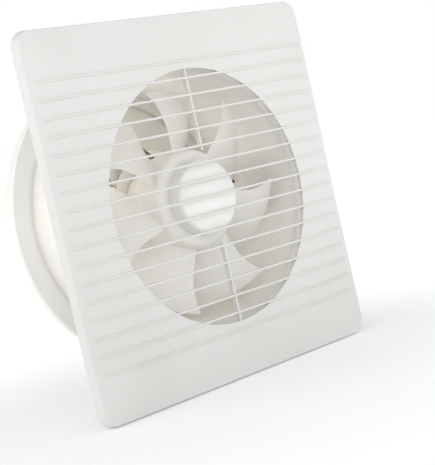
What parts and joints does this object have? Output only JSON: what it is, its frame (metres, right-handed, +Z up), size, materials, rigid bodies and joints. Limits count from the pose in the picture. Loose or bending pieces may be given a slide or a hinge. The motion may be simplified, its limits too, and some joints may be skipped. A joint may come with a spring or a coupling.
{
  "type": "bathroom extractor fan",
  "caption": "Square wall extractor fan: ribbed front grille, round duct, bladed impeller on a small motor, and a rear collar with hinged back-draught leaves.",
  "frame": {"origin": "on the duct axis, in the plane of the wall (rear face of the base frame)", "axes": "+Z up, -Y out of the front grille into the room, +Y along the duct into the wall"},
  "size_m": [0.2418, 0.0971, 0.2418],
  "materials": {
    "grille": "satin moulded white plastic",
    "base": "satin moulded white plastic",
    "foam": "closed-cell foam",
    "duct": "satin moulded warm white plastic",
    "screws": "zinc plated",
    "collar": "satin moulded warm white plastic",
    "shutter": "matt moulded beige plastic",
    "pins": "ground steel",
    "leaf": "thin matt beige plastic",
    "springs": "spring wire",
    "spider": "matt moulded beige plastic",
    "rubber": "black rubber",
    "motor_shell": "warm white enamelled pressed steel",
    "laminations": "varnished steel sheets",
    "windings": "enamelled copper wire",
    "bearings": "sintered bronze or brass",
    "impeller": "satin moulded warm white plastic",
    "cap": "gloss moulded white plastic",
    "lead": "white cable sheath",
    "box": "matt moulded white plastic",
    "block": "ivory plastic",
    "capacitor": "black potted case",
    "gland": "black nylon"
  },
  "bodies": {
    "body": {"base_frame": "base", "wall_gasket": "foam", "inlet_ring": "duct", "duct_tube": "duct", "duct_screws": "screws", "rear_collar": "collar", "collar_screws": "screws", "shutter_frame": "shutter", "shutter_pin": "pins", "motor_spider": "spider", "spider_screws": "screws", "rubber_mounts": "rubber", "motor_screws": "screws", "motor_shell_front": "motor_shell", "motor_shell_rear": "motor_shell", "stator_core": "laminations", "stator_windings": "windings", "front_bearing": "bearings", "rear_bearing": "bearings", "motor_lead": "lead", "lead_grommet": "rubber", "terminal_box": "box", "terminal_box_lid": "box", "lid_screws": "screws", "terminal_block": "block", "terminal_screws": "bearings", "run_capacitor": "capacitor", "cable_gland": "gland"},
    "grille": {"front_grille": "grille"},
    "rotor": {"impeller": "impeller", "spinner_cap": "cap", "hub_nut": "pins", "hub_washer": "pins", "drive_pin": "pins", "motor_shaft": "pins", "rotor_core": "laminations"},
    "left_leaf": {"shutter_leaf_left": "leaf", "shutter_spring_left": "springs"},
    "right_leaf": {"shutter_leaf_right": "leaf", "shutter_spring_right": "springs"}
  },
  "joints": [
    {"name": "impeller_spin", "type": "hinge", "parent": "body", "child": "rotor", "pos_m": [0, 0, 0], "axis": [0, -1, 0], "continuous": true},
    {"name": "left_leaf_swing", "type": "hinge", "parent": "body", "child": "left_leaf", "pos_m": [0, 0.0822, 0], "axis": [0, 0, -1], "range_deg": [0, 72], "stiffness_Nm_per_rad": 0.002, "springref_deg": -8.59},
    {"name": "right_leaf_swing", "type": "hinge", "parent": "body", "child": "right_leaf", "pos_m": [0, 0.0822, 0], "axis": [0, 0, 1], "range_deg": [0, 72], "stiffness_Nm_per_rad": 0.002, "springref_deg": -8.59},
    {"name": "grille_release", "type": "slide", "parent": "body", "child": "grille", "axis": [0, -1, 0], "range_m": [0, 0.03]}
  ]
}
